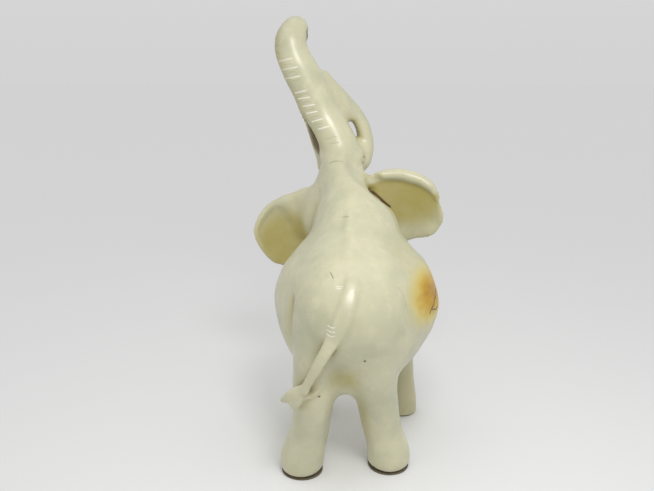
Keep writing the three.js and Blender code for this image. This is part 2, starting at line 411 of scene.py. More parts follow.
def weld_member(clay, node, soft):
    """Adds one member, with a fillet where it meets the rest."""
    points, quads = smooth_copy(node)
    if node in EARS:
        points = ear_grown(node, points)
    field, _ = clay.read_surface(points, quads, DEPTH, DEPTH)
    clay.field = blend_min(clay.field, field, soft)


def shape_shoulders(clay):
    """The nape slopes down to the back and the shoulders in one sweep."""
    keel = [[0, 62, 132, 20], [0.5, 40, 118, 23], [1, 18, 105, 26], [1, 0, 97, 23]]
    clay.roll(placed(keel), soft=14, per_span=4)
    for shoulder in (
        [[3, 64, 130, 15], [11, 50, 116, 17], [19, 36, 103, 20]],
        [[-8, 64, 130, 15], [-11, 50, 116, 17], [-18, 36, 103, 20]],
    ):
        clay.roll(placed(shoulder), soft=12, per_span=4)


def behind_ear(forward, radii):
    """The corner between the neck and the right ear, as rows of x, y, z and radius."""
    return [[x, y, z, radius] for (x, z), y, radius in zip(EAR_CORNER, forward, radii)]


def shape_nape(clay):
    """Scoops the right side of the nape, where the ear stands off from the neck."""
    scoop = [
        [10, 65.5, 175.5, 20],
        [15.5, 65.6, 169, 20],
        [19.6, 65.5, 163, 20],
        [25.4, 65.5, 158, 20],
        [32.4, 64, 152.4, 20],
        [37.8, 62, 145, 20],
        [41, 60, 137.5, 20],
    ]
    clay.roll(placed(scoop), soft=4, carve=True, per_span=4)
    corner = behind_ear([79, 80, 80, 80, 80, 80], [5, 7, 7, 7, 6.5, 6])
    clay.roll(placed(corner), soft=3, carve=True, per_span=4)


def shape_haunches(clay):
    """A soft fold sets each haunch off from the belly."""
    left = [[-28.5, 5, 103, 1], [-32, 1.5, 93, 2.6], [-33.6, 0.5, 81, 3.3], [-33, 2.5, 68, 3.2]]
    left.append([-31, 6, 57, 2])
    clay.roll(placed(left), soft=4, carve=True)
    right = [[44, 12, 104, 1.5], [49, 12, 94, 3], [48, 13, 82, 3.4], [43, 15, 70, 2.5]]
    clay.roll(placed(right), soft=5, carve=True)


def ear_grown(node, points):
    """The ears' places spread a little about the root, and the left ear's upper corner spread further."""
    root = place(*EAR_ROOTS[node])
    grown = root + EAR_GROWTH * (points - root)
    if node == "ear_left":
        middle = root + EAR_GROWTH * (np.mean(corners(node), axis=0) - root)
        out = (grown - middle) * np.array([1, 0, 1])
        turn = np.degrees(np.arctan2(out[..., 2], out[..., 0]))
        share = np.exp(-(((turn - CORNER_TURN) / CORNER_SPAN) ** 2))
        grown = grown + CORNER_GROWTH * share[..., None] * out
    return grown


def ear_edge(node, turn, inward):
    """A place this far inward of an ear's outline, this many degrees round."""
    out = np.array([math.cos(math.radians(turn)), 0, math.sin(math.radians(turn))])
    return ear_grown(node, rim_point(node, turn)) - inward * out


def ear_rim(node):
    """The thick edge of an ear, from its root outward, as rows of x, y, z and radius."""
    first, last, thick = EAR_RIMS[node]
    rows = [[*place(*EAR_ROOTS[node]), 0.5 * thick]]
    for turn in np.linspace(first, last, round(abs(last - first) / RIM_STEP) + 1):
        share = (turn - first) / (last - first)
        topmost = max(math.sin(math.radians(turn)), 0)
        radius = thick * (0.35 + 0.65 * topmost) * (1 - 0.6 * share**4)
        inward = radius + (0.5 if turn < 150 else 1.2)
        rows.append([*(ear_edge(node, turn, inward) - 0.25 * radius * FORWARD), radius])
    return rows


def shape_ears(clay):
    """Each ear's top edge is thick and soft, and the right one's outer edge is a little chipped."""
    for node in EARS:
        clay.roll(ear_rim(node), soft=3.5, per_span=5)
    for turn, bite in EAR_CHIPS:
        chip = ear_edge("ear_right", turn, bite - CHIP_RADIUS)
        through = [[*(chip - 6 * FORWARD), CHIP_RADIUS], [*(chip + 6 * FORWARD), CHIP_RADIUS]]
        clay.roll(through, soft=0.8, carve=True)


def shape_right_ear_root(clay):
    """The right ear stands off from the neck, behind a deep narrow corner that ends in a slit."""
    corner = behind_ear(6 * [78], [4.5, 6, 6, 6, 5.5, 5])
    clay.roll(placed(corner), soft=1.5, carve=True, per_span=4)
    slit = [[3.6, 81, 150.5, 3.5, 0.5], [8, 81, 146.5, 4, 1.0], [13.7, 81, 142, 4, 1.2]]
    slit.append([19.5, 81, 137.4, 3.5, 0.6])
    clay.strap(placed(slit), np.array([0.62, 0.03, 0.78]), corner=0.4, soft=0.8, carve=True)
    clay.roll(placed([[1, 82, 156.5, 3], [6, 85.5, 153.5, 2.4]]), soft=2)


def shape_left_ear_root(clay):
    """The left ear runs on into the neck without a step."""
    for fill in (
        [[-49, 91.5, 138, 3], [-46, 92, 134, 3.5], [-43, 91.5, 128, 3], [-41, 91.5, 121, 2]],
        [[-38, 90, 143, 3], [-37, 90.5, 136, 4], [-36, 91, 128, 4], [-35.5, 91.5, 120, 3]],
        [[-20, 80, 152, 9], [-25.5, 82, 141, 10], [-29.5, 84, 131, 9], [-32.5, 86, 123, 6]],
    ):
        clay.roll(placed(fill), soft=8)


def shape_tusks(clay):
    """The right tusk is webbed to the trunk above a narrow hole, and the left one's root is broad."""
    web = [
        [-25.5, 94, 219, 3.6],
        [-21.5, 94.5, 212, 4.6],
        [-17.5, 95, 205, 5.8],
        [-14.5, 96, 199.5, 5.6],
        [-12.2, 97.5, 195, 4],
    ]
    clay.roll(placed(web), soft=4)
    clay.roll(placed([[-8, 97, 178, 3.4], [-4, 97.5, 172, 5.6], [-3, 96, 166, 6.2]]), soft=3)
    left = [
        [-39.5, 103, 198, 2.2],
        [-37.6, 102.5, 191.5, 2.2],
        [-35.6, 102, 184.8, 2.4],
        [-32.5, 102, 175.5, 2.6],
        [-29.6, 102, 168, 3],
        [-26.5, 98, 161, 4],
    ]
    clay.roll(placed(left), soft=2)


def shape_groove(clay):
    """The dark groove between the trunk and the left tusk."""
    groove = [
        [-38.8, 91, 196, 9, 0.4],
        [-36.2, 91, 190, 9, 0.8],
        [-33.2, 91, 183, 9, 1.5],
        [-30.7, 91, 176.3, 9, 1.9],
        [-28.9, 91, 171.8, 8, 0.9],
    ]
    clay.strap(placed(groove), np.array([0.91, 0.19, 0.35]), corner=0.4, soft=0.8, carve=True)


def shape_trunk(clay):
    """The trunk is broad and a little flat on its left."""
    left = [
        [-45.5, 87, 240, 8],
        [-45.2, 88, 233, 9],
        [-42, 88, 223.5, 9],
        [-37.1, 88, 213.7, 9],
        [-32.6, 89, 204, 9],
        [-30, 91, 193.5, 8],
        [-27, 92, 184, 7],
        [-21, 89, 172, 6],
    ]
    clay.roll(placed(left), soft=4, per_span=4)


def shape_trunk_tip(clay):
    """The tip rises to a soft point and its lip hangs over to the right, with the nostrils under it."""
    point = [[-46, 86.5, 246, 3.5], [-43.8, 89.5, 250.3, 3.8], [-41.5, 91.5, 251.2, 3.2]]
    clay.roll(placed(point), soft=4)
    lip = [[-39.5, 91.5, 248.5, 4.2], [-38.4, 92.5, 244.5, 3.4], [-37.8, 92.5, 241.5, 2.2]]
    clay.roll(placed(lip), soft=2)
    for y, z in ((92, 246.5), (96, 247.5)):
        nostril = [[-33, y, z - 2, 1.3], [-36, y, z - 0.5, 1.3]]
        clay.roll(placed(nostril), soft=0.6, carve=True)


def eye_place(clay, side):
    """Where an eye sits on the side of the head; side is -1 for the left and 1 for the right."""
    return clay.hit(place(70 * side - 10, EYE_FORWARD, EYE_HEIGHT), np.array([-side, 0, 0]), 70)


def shape_eye(clay, side):
    """A brow over a ball that sits in an almond socket."""
    eye = eye_place(clay, side)
    inward = np.array([-side, 0, 0])
    brow = [
        [*(eye + [0, -5, 2.5] + 2.4 * inward), 2.3],
        [*(eye + [0, 0, 4.6] + 2 * inward), 2.3],
        [*(eye + [0, 5, 3] + 2.4 * inward), 2.3],
    ]
    clay.roll(brow, soft=2.5)
    for lid in (1, -1):
        socket = [
            [*(eye + [0, -3.6, 0]), 0.9],
            [*(eye + [0, 0, 1.9 * lid]), 0.9],
            [*(eye + [0, 3.6, 0.3]), 0.9],
        ]
        clay.roll(socket, soft=1, carve=True)
    ball = eye + 0.5 * inward
    clay.roll([[*(ball - FORWARD), 1.6], [*(ball + FORWARD), 1.6]], soft=0.6)


def shape_face(clay):
    """The eyes, and a lower lip that ends in a point."""
    for side in (-1, 1):
        shape_eye(clay, side)
    lip = [
        [-18, 91, 157, 2.8],
        [-15, 102, 155.8, 3.1],
        [-10, 109, 156.5, 3.4],
        [-5.5, 102, 155.8, 3.1],
        [-2, 91, 157, 2.8],
    ]
    clay.roll(placed(lip), soft=3)


def shape_soles(clay):
    """The front feet's stone comes down round their pads."""
    for node in ("front_pad_left", "front_pad_right"):
        low, high = corners(node)
        centre = (low + high) / 2
        out = vertices(node) - centre
        turns = np.arctan2(out[:, 1], out[:, 0])
        skirt = []
        for turn in np.radians(np.arange(0, 361, 15)):
            near = np.abs((turns - turn + math.pi) % (2 * math.pi) - math.pi) < 0.3
            reach = np.hypot(out[near, 0], out[near, 1]).max()
            x = centre[0] + reach * math.cos(turn)
            y = centre[1] + reach * math.sin(turn)
            skirt.append([x, y, 1.5, 1.0])
        clay.roll(skirt, soft=1.5, per_span=2)


def shape_keel(clay):
    """A low keel down the back, steeper on its left."""
    rows = [
        [-2.2, 38, 142, 2.2],
        [-1.5, 26, 133, 2.6],
        [0.4, 7, 124.5, 3.2],
        [2.2, -4, 118, 4],
        [4.0, -12, 112.5, 4.6],
    ]
    path = []
    for x, y, z, radius in rows:
        spot = clay.settle(place(x, y, z)[None])[0]
        out = clay.slope(spot[None])[0]
        path.append([*(spot + (0.9 - radius) * out), radius])
    clay.roll(path, soft=2.0)


def shape_tail(clay):
    """The keel turns into the tail, a flat strap that crosses the left haunch to the leg."""
    rows = [
        [3.6, -9, 114.5, 3.2, 2.0, -1.2],
        [3.0, -16, 109, 3.9, 2.0, -0.9],
        [1.6, -19.5, 103, 4.3, 2.0, -0.7],
        [-0.9, -22, 97, 4.3, 1.9, -0.3],
        [-4.4, -24, 90.5, 4.0, 1.8, None],
        [-8.4, -26, 83.5, 3.6, 1.8, None],
        [-12.8, -27, 75.5, 3.1, 1.7, None],
        [-17.3, -25.8, 66.5, 2.6, 1.6, None],
        [-19.3, -24.5, 61.5, 2.3, 1.6, None],
    ]
    path, facing = [], []
    for x, y, z, half, thick, lift in rows:
        spot = place(x, y, z)
        out = np.array([-0.12, -0.95, 0.27])
        if lift is not None:
            spot = clay.settle(spot[None])[0]
            out = clay.slope(spot[None])[0]
            spot = spot + lift * out
        path.append([*spot, half, thick])
        facing.append(out)
    clay.strap(path, np.array(facing), corner=0.7, soft=1.4)


def shape_tuft(clay):
    """The tail's tuft: a fan of hair with its point to the left and a fold of it laid on the leg."""
    fan = [[-19, -23.5, 63, 2.4], [-24, -21.5, 59, 3.4], [-29, -19.5, 55, 2.8], [-33.6, -18, 52, 1.0]]
    clay.roll(placed(fan), soft=2.5)
    clay.roll(placed([[-22, -22, 58, 3], [-25, -19, 51.5, 3.2], [-26, -17.5, 48.5, 1.6]]), soft=2.5)
    clay.roll(placed([[-21, -20.5, 57, 2.2], [-16, -18.8, 57, 1.9], [-11.5, -18, 60, 0.8]]), soft=2.0)


def shape_chip(clay):
    """A small chip where the brown crack reaches the widest part of the right flank."""
    clay.roll(placed([[51.5, 31, 91.5, 3.2], [51.8, 35, 95.5, 3.2]]), soft=0.8, carve=True)


def roughen(clay):
    """The slight unevenness of a figure shaped by hand."""
    rng = np.random.default_rng(7)
    waves = rng.normal(size=(24, 3))
    lengths = rng.uniform(13, 30, size=(24, 1))
    waves *= (2 * math.pi / lengths) / np.linalg.norm(waves, axis=1, keepdims=True)
    phases = rng.uniform(0, 2 * math.pi, size=24)
    near = np.nonzero(np.abs(clay.field) < 3)
    places = (np.stack(near, -1) + clay.start).astype(np.float32) * np.float32(STEP)
    height = np.cos(places @ waves.T.astype(np.float32) + phases.astype(np.float32)).sum(1)
    clay.field[near] += (UNEVEN / math.sqrt(12)) * height


def carve_block():
    """The whole figure in clay."""
    low, high = (np.array(corner) / MM for corner in cad_box)
    clay = Clay(low - MARGIN, high + MARGIN)
    weld_core(clay)
    shape_shoulders(clay)
    shape_nape(clay)
    shape_haunches(clay)
    weld_member(clay, "ear_left", soft=6.0)
    weld_member(clay, "ear_right", soft=1.5)
    for node in TUSKS:
        weld_member(clay, node, soft=1.5)
    clay.blur(1.1)
    shape_ears(clay)
    shape_right_ear_root(clay)
    shape_left_ear_root(clay)
    shape_tusks(clay)
    shape_trunk(clay)
    shape_groove(clay)
    shape_trunk_tip(clay)
    shape_face(clay)
    shape_keel(clay)
    shape_tail(clay)
    shape_tuft(clay)
    clay.blur(0.7)
    shape_soles(clay)
    shape_chip(clay)
    roughen(clay)
    return clay


# Incised lines


def trunk_ring(clay, up, start, stop):
    """A line round the back of the trunk at this share of its height, between two turns in degrees."""
    centre = slice_centre("trunk", up)
    axis = slice_centre("trunk", up + 0.06) - slice_centre("trunk", up - 0.06)
    axis = axis / np.linalg.norm(axis) + UP
    axis = axis / np.linalg.norm(axis)
    back = -FORWARD - (-FORWARD @ axis) * axis
    back = back / np.linalg.norm(back)
    side = np.cross(axis, back)
    line = []
    for turn in np.radians(np.linspace(start, stop, 9)):
        out = math.cos(turn) * back + math.sin(turn) * side
        line.append(clay.hit(centre + 30 * out, -out, 30.0))
    return np.array(line)


def on_surface(clay, rows):
    """A line through places near the surface, laid on it."""
    return clay.settle(smooth_rows(placed(rows), 6))


class Mark:
    """A line cut into the surface. chalk is how white it shows, grime how dark as dirt or painted shade, 0
    to 1.
    """

    def __init__(self, path, half, depth, chalk=0.0, grime_and_shade=0.0):
        lengths = np.linalg.norm(np.diff(path, axis=0), axis=1)
        along = np.concatenate([[0], np.cumsum(lengths)])
        count = max(int(along[-1] / 0.2), 1) + 1
        at = np.linspace(0, along[-1], count)
        self.points = np.stack([np.interp(at, along, path[:, i]) for i in range(3)], -1)
        taper = np.ones(count)
        if count > 2:
            taper = np.minimum(1, np.minimum(at, along[-1] - at) / 1.2 + 0.25)
        self.half = half * taper
        self.depth = depth * taper
        self.chalk = chalk * np.ones(count)
        self.grime_and_shade = grime_and_shade * np.ones(count)


def toenails(clay):
    """Three nails across the front of each foot, each a low arch."""
    marks = []
    for node in PADS:
        low, high = corners(node)
        foot = (low + high) / 2
        for turn in (-42, 0, 42):
            path = []
            for share in np.linspace(-1, 1, 9):
                angle = math.radians(turn + 14 * share)
                out = np.array([math.sin(angle), math.cos(angle), 0])
                height = 2.6 + 4.6 * math.sqrt(max(1 - share * share, 0))
                path.append(clay.hit(foot + 28 * out + height * UP, -out, 28))
            marks.append(Mark(np.array(path), 0.42, 0.35, chalk=0.45))
    return marks


def eyelids(clay):
    """An incised almond round each eye, dark in the corners."""
    marks = []
    for side in (-1, 1):
        eye = eye_place(clay, side)
        for lid in (1, -1):
            path = [eye + [0, 4.4 * s, 2.4 * lid * (1 - s * s)] for s in np.linspace(-1, 1, 7)]
            marks.append(Mark(clay.settle(np.array(path)), 0.5, 0.35, grime_and_shade=0.6))
    return marks


def wrinkles(clay):
    """Short white strokes down the trunk's back left, in two groups, with fainter ones between them."""
    marks = []
    for i in range(3):
        stroke = trunk_ring(clay, 0.72 - WRINKLE_GAP * i, -66, 2)
        marks.append(Mark(stroke, 0.36, 0.3, chalk=0.75))
    for i in range(6):
        start = -50 + 3 * i
        stroke = trunk_ring(clay, 0.51 - WRINKLE_GAP * i, start, start + 44)
        marks.append(Mark(stroke, 0.36, 0.3, chalk=0.85))
    for i in range(8):
        up = 0.482 - WRINKLE_GAP * i if i < 5 else 0.692 - WRINKLE_GAP * (i - 5)
        marks.append(Mark(trunk_ring(clay, up, -40, -8), 0.3, 0.2, grime_and_shade=0.15))
    for i in range(5):
        marks.append(Mark(trunk_ring(clay, 0.76 + 0.035 * i, -80, -40), 0.35, 0.22, grime_and_shade=0.15))
    for up in (0.155, 0.12):
        marks.append(Mark(trunk_ring(clay, up, -20, 20), 0.3, 0.18, grime_and_shade=0.15))
    return marks


def ear_slit_shadow(clay):
    """The slit where the right ear stands off from the neck, painted dark as the shadow deep in the corner.
    """
    slit = [[4.1, 82, 150.6], [7.8, 85, 146.9], [11.6, 86.5, 143.2], [15.5, 87.5, 139.5], [18.7, 88, 136.7]]
    return [Mark(on_surface(clay, slit), 0.9, 0.9, grime_and_shade=1)]


def back_strokes(clay):
    """Strokes on the nape, beside the keel and on the tail."""
    nape = on_surface(clay, [[-19, 70, 167], [-14, 69, 168.5], [-9.8, 68, 169.6]])
    withers = on_surface(clay, [[-7, 34, 142.5], [-2, 32, 143]])
    rump = on_surface(clay, [[-8.3, -5.4, 121.6], [-7, -7.5, 120.5], [-5.9, -10, 119.2]])
    marks = [
        Mark(nape, 0.35, 0.25, grime_and_shade=0.4),
        Mark(withers, 0.35, 0.22, grime_and_shade=0.4),
        Mark(rump, 0.4, 0.3, grime_and_shade=0.5),
    ]
    for z in (116, 117.6):
        stroke = on_surface(clay, [[-4.5, -14.5, z], [0, -15.6, z + 0.3]])
        marks.append(Mark(stroke, 0.3, 0.2, chalk=0.5))
    for z in (98.3, 96, 93.8):
        stroke = on_surface(clay, [[-7.6, -23, z + 0.4], [-5, -24.5, z], [-2.6, -25.4, z + 0.3]])
        marks.append(Mark(stroke, 0.3, 0.3, chalk=0.85))
    return marks


def flank_marks(clay):
    """The crack in the stained flank, with a branch, and a faint scratch behind it."""
    crack = [
        [48.5, 37, 101],
        [47.4, 33, 97.5],
        [47, 30, 96.8],
        [46.5, 28, 94],
        [45, 24.6, 92.7],
        [43.6, 21.5, 90.3],
    ]
    branch = [[45, 24.8, 92.3], [46.4, 28, 91.6], [47.8, 32, 90.2], [48.6, 36, 91]]
    scratch = [[26.7, 1.5, 112.7], [30.3, 3, 107], [31.5, 1, 101]]
    return [
        Mark(on_surface(clay, crack), 0.6, 0.6, grime_and_shade=1),
        Mark(on_surface(clay, branch), 0.5, 0.5, grime_and_shade=0.9),
        Mark(on_surface(clay, scratch), 0.3, 0.15, grime_and_shade=0.2),
    ]


def pits(clay):
    """Two small dark pits, on the left hind leg and the right haunch."""
    marks = []
    for pit in ([-12.5, -16.4, 55.1], [11.7, -16.7, 77.2]):
        path = np.repeat(clay.settle(place(*pit)[None]), 2, axis=0)
        marks.append(Mark(path, 0.7, 0.6, grime_and_shade=1))
    return marks


def incised_lines(clay):
    """Every line, scratch and pit on the figure."""
    marks = []
    for make in (wrinkles, ear_slit_shadow, back_strokes, toenails, eyelids, flank_marks, pits):
        marks += make(clay)
    return marks


def refine(mesh, tree):
    """Divides a mesh more finely along the marks, whose places are in the tree."""
    work = bmesh.new()
    work.from_mesh(mesh)
    near = {vert for vert in work.verts if tree.find(vert.co)[2] < 1.1 * STEP}
    edges = [edge for edge in work.edges if near.intersection(edge.verts)]
    bmesh.ops.subdivide_edges(work, edges=edges, cuts=REFINE, use_grid_fill=True)
    bmesh.ops.triangulate(work, faces=[face for face in work.faces if len(face.verts) > 4])
    bmesh.ops.recalc_face_normals(work, faces=work.faces)
    work.to_mesh(mesh)
    work.free()


def cut_marks(clay, mesh, marks):
    """Sinks the marks into the mesh, and stores how chalky and how dark they make each vertex."""
    samples = {}
    for key in ("half", "depth", "chalk", "grime_and_shade"):
        samples[key] = np.concatenate([getattr(mark, key) for mark in marks])
    places = np.vstack([mark.points for mark in marks])
    tree = KDTree(len(places))
    for i, point in enumerate(places):
        tree.insert(point, i)
    tree.balance()
    refine(mesh, tree)

    spots = clay.settle(read_vertices(mesh))
    out = clay.slope(spots)
    chalk = np.zeros(len(spots))
    grime_and_shade = np.zeros(len(spots))
    for i, spot in enumerate(spots):
        _, sample, gap = tree.find(spot)
        reach = 1.3 * samples["half"][sample]
        if gap > reach:
            continue
        shape = (1 - (gap / reach) ** 2) ** 2
        spots[i] = spot - samples["depth"][sample] * shape * out[i]
        chalk[i] = samples["chalk"][sample] * min(1, 1.6 * shape)
        grime_and_shade[i] = samples["grime_and_shade"][sample] * min(1, 1.4 * shape)
    mesh.vertices.foreach_set("co", spots.astype(np.float32).ravel())
    store(mesh, "chalk", chalk)
    store(mesh, "grime_and_shade", grime_and_shade)


def read_vertices(mesh):
    """A mesh's vertices, in its own units."""
    places = np.empty(len(mesh.vertices) * 3, np.float32)
    mesh.vertices.foreach_get("co", places)
    return places.reshape(-1, 3).astype(float)


def store(mesh, name, values):
    """Keeps one number for each vertex, which the materials read by name."""
    attribute = mesh.attributes.new(name, "FLOAT", "POINT")
    attribute.data.foreach_set("value", np.asarray(values, np.float32))


def fade(distance, near, far):
    """1 up to `near`, easing to 0 at `far`."""
    share = np.clip((far - distance) / (far - near), 0, 1)
    return share * share * (3 - 2 * share)


def blob(spots, centre, radii):
    """How far each place is from a centre, as a share of the radii of an egg round it."""
    return np.linalg.norm((spots - place(*centre)) / np.array(radii), axis=1)


def painted_olive_shade(clay, spots, out):
    """How much painted olive shade the stone gets: in the ears' hollows, the creases and down the trunk's
    shaded left.
    """
    behind = fade(out[:, 1], -0.45, 0.0)
    right = fade(blob(spots, [22, 82, 143], [30, 14, 27]), 0.75, 1.1)
    left = fade(blob(spots, [-50, 84, 114], [21, 14, 24]), 0.6, 1.15)
    rims = []
    for node in EARS:
        thick = [row for row in ear_rim(node) if row[3] > THICK_RIM]
        rims.append(roll_distance(spots, smooth_rows(thick, 3)))
    inside_rim = 1 - fade(np.minimum(*rims), 0.5, 1.6)
    ear_shade = behind * inside_rim * np.maximum(right, left)
    # Painted shade: olive in creases, and down the trunk's left side, which is turned from the lamp.
    crease_shade = 0.4 * fade(openness(clay, spots, out), 0.4, 0.95)
    trunk_left_shade = 0.5 * fade(out[:, 0], -0.9, -0.3) * fade(-spots[:, 2], -185, -170)
    return np.maximum(np.maximum(ear_shade, crease_shade), trunk_left_shade)


def openness(clay, spots, out):
    """1 on open surface, and less where another part of the surface is near."""
    return clay.sample(spots + 4 * out) / 4


def warm_tint_and_shade(spots):
    """How warm the stone is painted: olive painted shade between the hind legs, a warm tint on the right
    front foot and above the stain.
    """
    warm_and_shade = [
        fade(blob(spots, [0, -4, 64], [11, 26, 11]), 0.3, 1.2),
        0.8 * fade(blob(spots, [10, 8, 40], [6, 20, 26]), 0.3, 1.2),
        0.4 * fade(blob(spots, [30, 76, 14], [16, 20, 34]), 0.7, 1.3),
        0.3 * fade(blob(spots, [28, 30, 122], [22, 22, 16]), 0.2, 1.2),
    ]
    return np.max(warm_and_shade, axis=0)


def painted_dark_shade(clay, spots, out):
    """How much painted shade darkens the groove by the left tusk, the underside of the trunk's lip and tight
    creases.
    """
    groove = [[-35.5, 100, 190, 1], [-33.6, 100, 184, 1.6], [-31, 100, 176.5, 2], [-29.3, 99, 171.5, 1]]
    under_lip = [[-36, 92, 245, 1.5], [-36.2, 92, 242, 1.5]]
    gaps = [roll_distance(spots, placed(line)) for line in (groove, under_lip)]
    gap_shade = 0.75 * fade(np.minimum(*gaps), 0.3, 2.2)
    return np.maximum(gap_shade, 0.45 * fade(openness(clay, spots, out), 0.05, 0.5))


def paint(clay, mesh):
    """Stores the painted olive shade, the stain, the warm tint with painted shade between the legs, and the
    painted dark shade.
    """
    spots = read_vertices(mesh)
    out = clay.slope(spots)
    store(mesh, "painted_shade", painted_olive_shade(clay, spots, out))
    store(mesh, "stain", fade(blob(spots, [47, 29, 101], [16.5, 24, 13]), 0.05, 2.0))
    store(mesh, "warm_and_shade", warm_tint_and_shade(spots))
    attribute = mesh.attributes["grime_and_shade"]
    grime_and_shade = np.empty(len(spots), np.float32)
    attribute.data.foreach_get("value", grime_and_shade)
    grime_and_shade = np.maximum(grime_and_shade, painted_dark_shade(clay, spots, out))
    attribute.data.foreach_set("value", grime_and_shade.astype(np.float32))


def skin_object(clay):
    """The stone figure: one closed mesh of the clay's surface."""
    points, quads = clay.mesh()
    mesh = bpy.data.meshes.new("stone_figure")
    mesh.from_pydata(points, [], quads.tolist())
    cut_marks(clay, mesh, incised_lines(clay))
    paint(clay, mesh)
    mesh.transform(Matrix.Scale(MM, 4))
    mesh.shade_smooth()
    mesh.materials.append(soapstone())
    piece = bpy.data.objects.new("stone_figure", mesh)
    bpy.context.scene.collection.objects.link(piece)
    return piece


# Materials


def srgb(red, green, blue):
    """A colour from display values of 0 to 255."""
    linear = []
    for value in (red, green, blue):
        share = value / 255
        linear.append(share / 12.92 if share <= 0.04045 else ((share + 0.055) / 1.055) ** 2.4)
    return (*linear, 1.0)


def set_range(node, low, high, out_low, out_high):
    """Sets the numbers of a map range node."""
    node.inputs["From Min"].default_value = low
    node.inputs["From Max"].default_value = high
    node.inputs["To Min"].default_value = out_low
    node.inputs["To Max"].default_value = out_high


class Shader:
    """A material's nodes, added one short call at a time. Each call gives back the socket it makes."""

    def __init__(self, name):
        self.material = bpy.data.materials.new(name)
        self.material.use_nodes = True
        self.nodes = self.material.node_tree.nodes
        self.links = self.material.node_tree.links
        self.bsdf = self.nodes["Principled BSDF"]
        self.position = self.nodes.new("ShaderNodeTexCoord").outputs["Object"]

    def feed(self, socket, value):
        """Gives an input a value or a link."""
        if isinstance(value, bpy.types.NodeSocket):
            self.links.new(value, socket)
        else:
            socket.default_value = value

    def set(self, **values):
        """Feeds the surface's inputs by name."""
        for name, value in values.items():
            self.feed(self.bsdf.inputs[name.replace("_", " ")], value)

    def noise(self, size, detail, roughness=0.55, distortion=0.0, stretch=None):
        """Cloudy noise whose clouds are about `size` millimetres across."""
        node = self.nodes.new("ShaderNodeTexNoise")
        position = self.position
        if stretch is not None:
            mapping = self.nodes.new("ShaderNodeMapping")
            mapping.inputs["Scale"].default_value = stretch
            self.links.new(position, mapping.inputs["Vector"])
            position = mapping.outputs["Vector"]
        self.links.new(position, node.inputs["Vector"])
        node.inputs["Scale"].default_value = 1 / (size * MM)
        node.inputs["Detail"].default_value = detail
        node.inputs["Roughness"].default_value = roughness
        node.inputs["Distortion"].default_value = distortion
        return node.outputs["Fac"]

    def value(self, name):
        """One of the mesh's stored numbers."""
        node = self.nodes.new("ShaderNodeAttribute")
        node.attribute_name = name
        return node.outputs["Fac"]

    def math(self, operation, a, b=0.0):
        """The result of an arithmetic node."""
        node = self.nodes.new("ShaderNodeMath")
        node.operation = operation
        self.feed(node.inputs[0], a)
        self.feed(node.inputs[1], b)
        return node.outputs[0]

    def step(self, value, low, high, out_low=0.0, out_high=1.0):
        """Eases from out_low to out_high as a value goes from low to high."""
        node = self.nodes.new("ShaderNodeMapRange")
        node.interpolation_type = "SMOOTHSTEP"
        self.feed(node.inputs["Value"], value)
        set_range(node, low, high, out_low, out_high)
        return node.outputs["Result"]

    def mix(self, share, a, b):
        """A colour that goes from a to b as the share goes from 0 to 1."""
        node = self.nodes.new("ShaderNodeMix")
        node.data_type = "RGBA"
        self.feed(node.inputs[0], share)
        self.feed(node.inputs[6], a)
        self.feed(node.inputs[7], b)
        return node.outputs[2]

    def bump(self, height, distance, strength=1.0, normal=None):
        """A bump `distance` millimetres high."""
        node = self.nodes.new("ShaderNodeBump")
        node.inputs["Strength"].default_value = strength
        node.inputs["Distance"].default_value = distance * MM
        self.feed(node.inputs["Height"], height)
        if normal is not None:
            self.links.new(normal, node.inputs["Normal"])
        return node.outputs["Normal"]


def clouded_colour(shader, mottle):
    """Cream-green stone: cloudy, with paler mottling, greener clouds and faint veins."""
    cloud = shader.step(shader.noise(34, 3, distortion=0.4), 0.32, 0.68)
    colour = shader.mix(cloud, srgb(188, 186, 157), srgb(200, 197, 166))
    colour = shader.mix(shader.step(mottle, 0.45, 0.75, 0, 0.4), colour, srgb(211, 206, 178))
    green = shader.step(shader.noise(22, 4, 0.5), 0.45, 0.7, 0, 0.55)
    colour = shader.mix(green, colour, srgb(173, 176, 147))
    vein = shader.noise(30, 6, 0.6, distortion=1.2)
    vein = shader.math("ABSOLUTE", shader.math("SUBTRACT", vein, 0.5))
    return shader.mix(shader.step(vein, 0.0, 0.012, 0.22, 0), colour, srgb(172, 165, 130))


def stained_colour(shader, colour):
    """The amber stain over another colour: yellow at its feathered edge and brown at its heart."""
    streaks = shader.noise(5, 4, 0.6, stretch=(1, 0.5, 1.8))
    edge = shader.math("ADD", shader.noise(14, 3), streaks)
    edge = shader.math("MULTIPLY", shader.math("SUBTRACT", edge, 1.0), 0.6)
    stain = shader.math("MULTIPLY", shader.value("stain"), shader.math("ADD", edge, 1.05))
    colour = shader.mix(shader.step(stain, 0.04, 0.65, 0, 0.85), colour, srgb(208, 188, 92))
    colour = shader.mix(shader.step(stain, 0.4, 0.92), colour, srgb(190, 150, 4))
    return shader.mix(shader.step(stain, 0.8, 1.2, 0, 0.8), colour, srgb(163, 111, 2))


